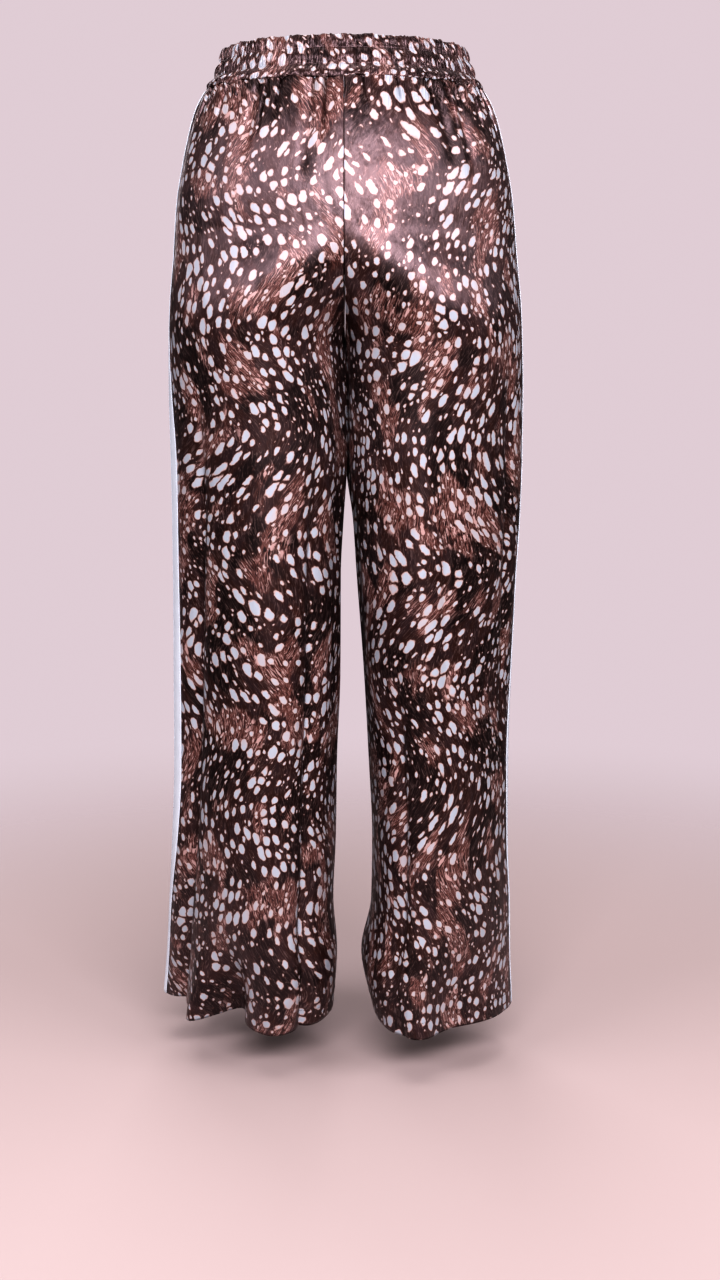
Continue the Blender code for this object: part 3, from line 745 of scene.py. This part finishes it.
waistband = {
    "drop": (0.0000, 0.0070, 0.0150, 0.0220, 0.0290, 0.0350, 0.0400),
    "halfWidth": (0.1235, 0.1260, 0.1285, 0.1310, 0.1340, 0.1385, 0.1415),
    "back": (0.0920, 0.0940, 0.0955, 0.0970, 0.0985, 0.1015, 0.1040),
    "front": (0.0850, 0.0865, 0.0880, 0.0890, 0.0905, 0.0930, 0.0950),
    # puffs of the casing between the rows of stitching: start, end, how far they stand out
    "puffs": ((-0.002, 0.0128, 0.0017), (0.0128, 0.0285, 0.0020), (0.0285, 0.0406, 0.0030)),
    "stitchDrops": (0.0128, 0.0285),
    # the gathers in lumps of noise: how many round the waist, height in metres, seed
    "noise": {
        "pleats": (210, 0.017, 11),
        "broad": (60, 0.02, 12),
        "lean": (22, 0.05, 13),
        "frill": (92, 0.03, 14),  # slanting folds under the lower row of stitching
        "slant": (14, math.inf, 15),
        "ragged": (64, math.inf, 16),
    },
    "pleatDepth": 0.0024,
    "pleatLean": 80,  # how many pleats along the most leaning one drifts in a metre
    "pinch": 0.30,  # share of the depth left at a row of stitching
    "opening": 0.0045,  # from it, where the pleats have opened
    "frillDepth": 0.0030,
    "frillSlant": 1.1,  # how many folds along a fold drifts over the frill's height, and how unevenly
    "frillSlantSpread": 1.2,
    "frillHeight": 0.011,
    "frillStart": 0.006,  # below the lower row of stitching, where the frill is full
    "seamPull": 0.004,  # above the lower edge, where the frill is calmed by the seam
    "seamLift": 0.0003,
    "raggedLeast": 0.0008,  # how far the lower edge hangs below its line, and how unevenly
    "raggedSpread": 0.0016,
    "scallop": 0.5,  # how far a pleat pushes an edge up or down, as a share of how far it stands out
    "insideDrops": (0.002, 0.012, 0.026, 0.0385),
    "wall": 0.0022,
    "columns": 1408,
    "rows": 46,
    "gatheredCut": 1.40,  # metres of cloth to a metre of band
    "seamCrowding": 1.0,  # extra length of cloth that the frill takes up at the lower edge
    "uvShift": (5.2, 0.3),  # place on the printed roll
}


def bandPoint(angle, drop, lift):
    b = waistband
    halfWidth = smoothColumn(b["drop"], b["halfWidth"], drop)
    back, front = smoothColumn(b["drop"], b["back"], drop), smoothColumn(b["drop"], b["front"], drop)
    depth = np.where(np.sin(angle) > 0, back, front)
    x, y = halfWidth * np.cos(angle), depth * np.sin(angle)
    outX, outY = depth * np.cos(angle), halfWidth * np.sin(angle)
    size = np.hypot(outX, outY)
    z = garment["bandTop"] - drop
    return np.stack(np.broadcast_arrays(x + outX / size * lift, y + outY / size * lift, z), axis=-1)


def bandNoise(kind, share, drop, shift=0):
    count, height, seed = waistband["noise"][kind]
    return softNoise(share * count + shift, drop / height, seed, around=count)


def bandLift(angle, drop):
    b = waistband
    share = angle / (2 * np.pi)
    lift = sum(
        height * np.sin(np.pi * np.clip((drop - start) / (end - start), 0, 1)) ** 0.7
        for start, end, height in b["puffs"]
    )
    toStitch = np.minimum.reduce([np.abs(drop - s) for s in b["stitchDrops"]])
    opened = b["pinch"] + (1 - b["pinch"]) * ease(toStitch / b["opening"])
    # pleats lean a little, differently along the band, and are sharp in their valleys
    lean = b["pleatLean"] * drop * bandNoise("lean", share, drop)
    fine = np.abs(bandNoise("pleats", share, drop, lean))
    pleats = b["pleatDepth"] * opened * (fine + 0.30 * bandNoise("broad", share, drop) - 0.45)
    # the frill under the lower row of stitching falls in slanting folds
    below = drop - b["stitchDrops"][-1]
    hang = ease(below / b["frillStart"])
    slant = b["frillSlant"] + b["frillSlantSpread"] * bandNoise("slant", share, drop)
    frill = np.abs(bandNoise("frill", share, drop, slant * below / b["frillHeight"]))
    atSeam = ease(1 + (drop - garment["bandHeight"]) / b["seamPull"])
    frillDepth = b["frillDepth"] * (1 - 0.5 * atSeam)
    lift = lift + b["seamLift"] * atSeam + pleats * (1 - 0.4 * hang)
    return lift + frillDepth * hang * (frill - 0.40)


def makeWaistband():
    b = waistband
    drop = np.linspace(0, garment["bandHeight"], b["rows"])[:, None]
    angle = np.linspace(0, 2 * np.pi, b["columns"], endpoint=False)[None, :]
    lift = bandLift(angle, drop)
    outer = bandPoint(angle, drop, lift)
    # the edges are scalloped: the pleats push them up and down
    push = b["scallop"] * (lift - 0.001)
    outer[..., 2] += push * np.exp(-drop / 0.003)
    ragged = b["raggedLeast"] + b["raggedSpread"] * bandNoise("ragged", angle / (2 * np.pi), 0 * angle)
    outer[..., 2] -= (ragged + push) * np.exp(-(garment["bandHeight"] - drop) / 0.004)
    inner = bandPoint(angle, np.array(b["insideDrops"])[:, None], -b["wall"])
    top = (outer[:1] + bandPoint(angle, drop[:1], -b["wall"])) / 2 + (0, 0, 0.0003)
    bottom = bandPoint(angle, drop[-1:], -b["wall"] * 0.5)
    rings = np.concatenate((inner[::-1], top, outer, bottom, inner[-1:]), axis=0)
    along = np.linalg.norm(np.diff(bandPoint(angle, drop[20:21], 0), axis=1), axis=-1).sum()
    u = np.linspace(0, along * b["gatheredCut"], b["columns"])[None, :].repeat(len(rings), axis=0)
    line = rings[:, 300]  # one line up the inside and down the outside stands for all
    crowded = 1 + b["seamCrowding"] * np.exp(-np.abs(line[1:, 2] + garment["bandTop"]) / 0.006)
    v = np.concatenate(((0,), np.cumsum(np.linalg.norm(np.diff(line, axis=0), axis=-1) * crowded)))
    uv = np.stack((u + b["uvShift"][0], b["uvShift"][1] - v[:, None].repeat(b["columns"], axis=1)), axis=-1)
    made = meshFromGrid("waistband_cloth", rings, uv, (satin,), flip=True, ring=True)
    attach(made, "root")
    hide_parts("waistband")
    return made


band = makeWaistband()
print("waistband made")


def makeTape(leg):
    drops = rowDrops()
    drops[0] = garment["seamDrop"] + 0.0012  # just clear of the waistband's lower edge
    seam = seamTurnAt(leg, drops)
    half, heights = np.array(sideTape["across"]), np.array(sideTape["height"])
    offsets = np.concatenate((-half[:0:-1], half)) * sideTape["width"] / 2
    turns = np.column_stack([turnBeside(leg, seam, offset, drops) for offset in offsets])
    lift = garment["seamGap"] + sideTape["thickness"] * np.concatenate((heights[:0:-1], heights))
    points = clothPoint(leg, turns, drops[:, None])
    normals = outward(clothPoint, leg, turns, drops[:, None])
    points = (points + normals * lift[None, :, None]) * (sideSign[leg], 1, 1)
    uv = np.stack(np.broadcast_arrays(offsets[None, :], -drops[:, None]), axis=-1)
    mirrored = sideSign[leg] < 0
    made = meshFromGrid(f"side_tape_{leg}_cloth", points, uv, (tapeCloth,), flip=mirrored)
    thicken = made.modifiers.new("thickness", "SOLIDIFY")
    thicken.thickness = sideTape["thickness"]
    thicken.offset = -1
    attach(made, "root")
    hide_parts(f"side_tape_{leg}")
    return made


tapes = {leg: makeTape(leg) for leg in legForm}
print("tapes made")

stitching = {
    "pitch": 0.0031,
    "length": 0.0024,
    "radius": 0.00021,
    "arch": 0.00022,  # how far the middle of a stitch stands up
    "hemUp": 0.018,  # stitched line above the hem
    "tapeIn": 0.0018,  # from the edge of the tape
}


def makeStitches(name, paths, thread):
    # a path is a fine line of points on a surface with the surface's normals there
    st = stitching
    rings = []
    for points, normals in paths:
        run = np.concatenate(((0,), np.cumsum(np.linalg.norm(np.diff(points, axis=0), axis=-1))))
        starts = np.arange(st["pitch"] / 2, run[-1] - st["length"], st["pitch"])
        at = starts[:, None] + np.array((0, 0.5, 1)) * st["length"]
        centre = np.stack([np.interp(at, run, points[:, k]) for k in range(3)], axis=-1)
        normal = np.stack([np.interp(at, run, normals[:, k]) for k in range(3)], axis=-1)
        normal /= np.linalg.norm(normal, axis=-1, keepdims=True)
        along = centre[:, 2:] - centre[:, :1]
        beside = np.cross(along / np.linalg.norm(along, axis=-1, keepdims=True), normal)
        centre = centre + normal * (np.array((0, 1, 0)) * st["arch"])[None, :, None]
        thick = (np.array((0.6, 1, 0.6)) * st["radius"])[None, :, None]
        around = (beside, normal, -beside, -normal)
        rings.append(np.stack([centre + way * thick for way in around], axis=2))
    rings = np.concatenate(rings)
    first = np.arange(len(rings))[:, None, None] * 12
    sides = [(a + k, a + (k + 1) % 4, a + 4 + (k + 1) % 4, a + 4 + k) for a in (0, 4) for k in range(4)]
    faces = (first + np.array(sides + [(3, 2, 1, 0), (8, 9, 10, 11)])[None]).reshape(-1, 4)
    data = bpy.data.meshes.new(name)
    data.from_pydata(rings.reshape(-1, 3).tolist(), [], faces.tolist())
    data.materials.append(thread)
    data.shade_smooth()
    made = bpy.data.objects.new(name, data)
    bpy.context.scene.collection.objects.link(made)
    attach(made, "root")
    return made


def hemPath(leg, side):
    drop = np.full(600, garment["hemDrop"] - stitching["hemUp"])
    seam = seamTurnAt(leg, drop[:1])[0]
    turn = np.linspace(seam, panelTurn[side], 602)[1:-1]
    normals = outward(clothPoint, leg, turn, drop)
    return clothPoint(leg, turn, drop) * (sideSign[leg], 1, 1), normals * (sideSign[leg], 1, 1)


def bandPath(drop):
    angle = np.linspace(0, 2 * np.pi, 1800)
    drops = np.full_like(angle, drop)
    lift = bandLift(angle, drops)
    points = bandPoint(angle, drops, lift)
    return points, bandPoint(angle, drops, lift + 1) - points


def tapePath(leg, end):
    drops = np.linspace(garment["seamDrop"] + 0.0015, garment["hemDrop"] - 0.001, 1200)
    offset = end * (sideTape["width"] / 2 - stitching["tapeIn"])
    turn = turnBeside(leg, seamTurnAt(leg, drops), offset, drops)
    normals = outward(clothPoint, leg, turn, drops)
    points = clothPoint(leg, turn, drops) + normals * (garment["seamGap"] + sideTape["thickness"])
    return points * (sideSign[leg], 1, 1), normals * (sideSign[leg], 1, 1)


for leg in legForm:
    makeStitches(f"hem_stitches_{leg}", [hemPath(leg, side) for side in panelTurn], brownThread)
    makeStitches(f"tape_stitches_{leg}", [tapePath(leg, end) for end in (-1, 1)], whiteThread)
makeStitches("waistband_stitches", [bandPath(drop) for drop in waistband["stitchDrops"]], brownThread)
print("stitching made")

studio = {
    "floorHeight": -1.055,
    "floorColour": "#B2A7A5",
    "worldColour": "#E3DBDD",
    "worldStrength": 0.10,
    "backdropColour": "#C3B5BB",
    "cameraPlace": (-0.0156, 1.8, -0.309),
    "cameraPitch": 8.92,
    "lens": 47.29,
    "floorFade": (0.4, 1.7),  # from the middle, where the floor starts to fade and is gone
    # lamps: place, what they point at, watts, width and height, colour
    "lamps": {
        "keyLight": ((-0.20, 2.1, 0.50), (0, 0, -0.06), 58, (1.8, 0.36), "#FFF0F5"),
        "leftLight": ((1.8, 1.2, 0.55), (0, 0, -0.15), 16, (1.5, 0.6), "#FFF1F8"),
        "rightLight": ((-1.8, 1.3, 0.50), (0, 0, -0.15), 19, (1.5, 0.6), "#FFF1F6"),
        "fillLight": ((0.2, 2.6, -0.2), (0, 0, -0.55), 7, (1.2, 1.2), "#FFF1EE"),
        "topLight": ((0, 0.5, 2.2), (0, 0.3, -1.0), 40, (2.2, 1.8), "#FFF3F4"),
        "frontLight": ((0.6, -2.6, 0.9), (0, 0, -0.5), 34, (1.8, 1.8), "#FFF1F6"),
    },
}


def areaLight(name, place, target, power, size, hexColour):
    light = bpy.data.lights.new(name, "AREA")
    light.shape = "RECTANGLE"
    light.energy = power
    light.size, light.size_y = size
    light.color = hexToLinear(hexColour)[:3]
    made = bpy.data.objects.new(name, light)
    made.location = place
    made.rotation_euler = (Vector(target) - Vector(place)).to_track_quat("-Z", "Y").to_euler()
    bpy.context.scene.collection.objects.link(made)


def makeFloor():
    # rolled emulsion paint: flat, even and matt, fading into the backdrop
    reach = 4
    corners = [(-reach, -reach), (reach, -reach), (reach, reach), (-reach, reach)]
    data = bpy.data.meshes.new("floor")
    data.from_pydata([(x, y, studio["floorHeight"]) for x, y in corners], [], [(0, 1, 2, 3)])
    floor = bpy.data.objects.new("floor", data)
    bpy.context.scene.collection.objects.link(floor)
    paint = bpy.data.materials.new("mattEmulsionPaint")
    paint.use_nodes = True
    tree = paint.node_tree
    shader = tree.nodes["Principled BSDF"]
    setInputs(shader, {"Base Color": hexToLinear(studio["floorColour"]), "Roughness": 0.9})
    place = addNode(tree, "ShaderNodeTexCoord").outputs["Object"]
    flatPlace = addNode(tree, "ShaderNodeVectorMath", {0: place, 1: (1, 1, 0)}, operation="MULTIPLY")
    away = addNode(tree, "ShaderNodeVectorMath", {0: flatPlace}, operation="LENGTH")
    near, far = studio["floorFade"]
    faded = addNode(tree, "ShaderNodeMapRange", {"Value": away, "From Min": near, "From Max": far}, **smooth)
    clear = addNode(tree, "ShaderNodeBsdfTransparent")
    either = addNode(tree, "ShaderNodeMixShader", {0: faded, 1: shader, 2: clear})
    setInputs(tree.nodes["Material Output"], {"Surface": either})
    data.materials.append(paint)


def makeBackdrop():
    # what the camera sees is a plain tone, and the cloth is lit by a much weaker one
    world = bpy.data.worlds.new("studio")
    world.use_nodes = True
    tree = world.node_tree
    seen = {"Color": hexToLinear(studio["backdropColour"]), "Strength": 1.0}
    seen = addNode(tree, "ShaderNodeBackground", seen)
    lit = tree.nodes["Background"]
    setInputs(lit, {"Color": hexToLinear(studio["worldColour"]), "Strength": studio["worldStrength"]})
    ray = addNode(tree, "ShaderNodeLightPath").outputs["Is Camera Ray"]
    either = addNode(tree, "ShaderNodeMixShader", {0: ray, 1: lit, 2: seen})
    setInputs(tree.nodes["World Output"], {"Surface": either})
    bpy.context.scene.world = world
    bpy.context.scene.view_settings.view_transform = "Standard"
    bpy.context.scene.view_settings.look = "High Contrast"


def makeCamera():
    camera = bpy.data.cameras.new("camera")
    camera.lens = studio["lens"]
    made = bpy.data.objects.new("camera", camera)
    made.location = studio["cameraPlace"]
    made.rotation_euler = (math.radians(90 - studio["cameraPitch"]), 0, math.radians(180))
    bpy.context.scene.collection.objects.link(made)
    bpy.context.scene.camera = made


makeFloor()
makeBackdrop()
for name, lamp in studio["lamps"].items():
    areaLight(name, *lamp)
makeCamera()
print("studio made")
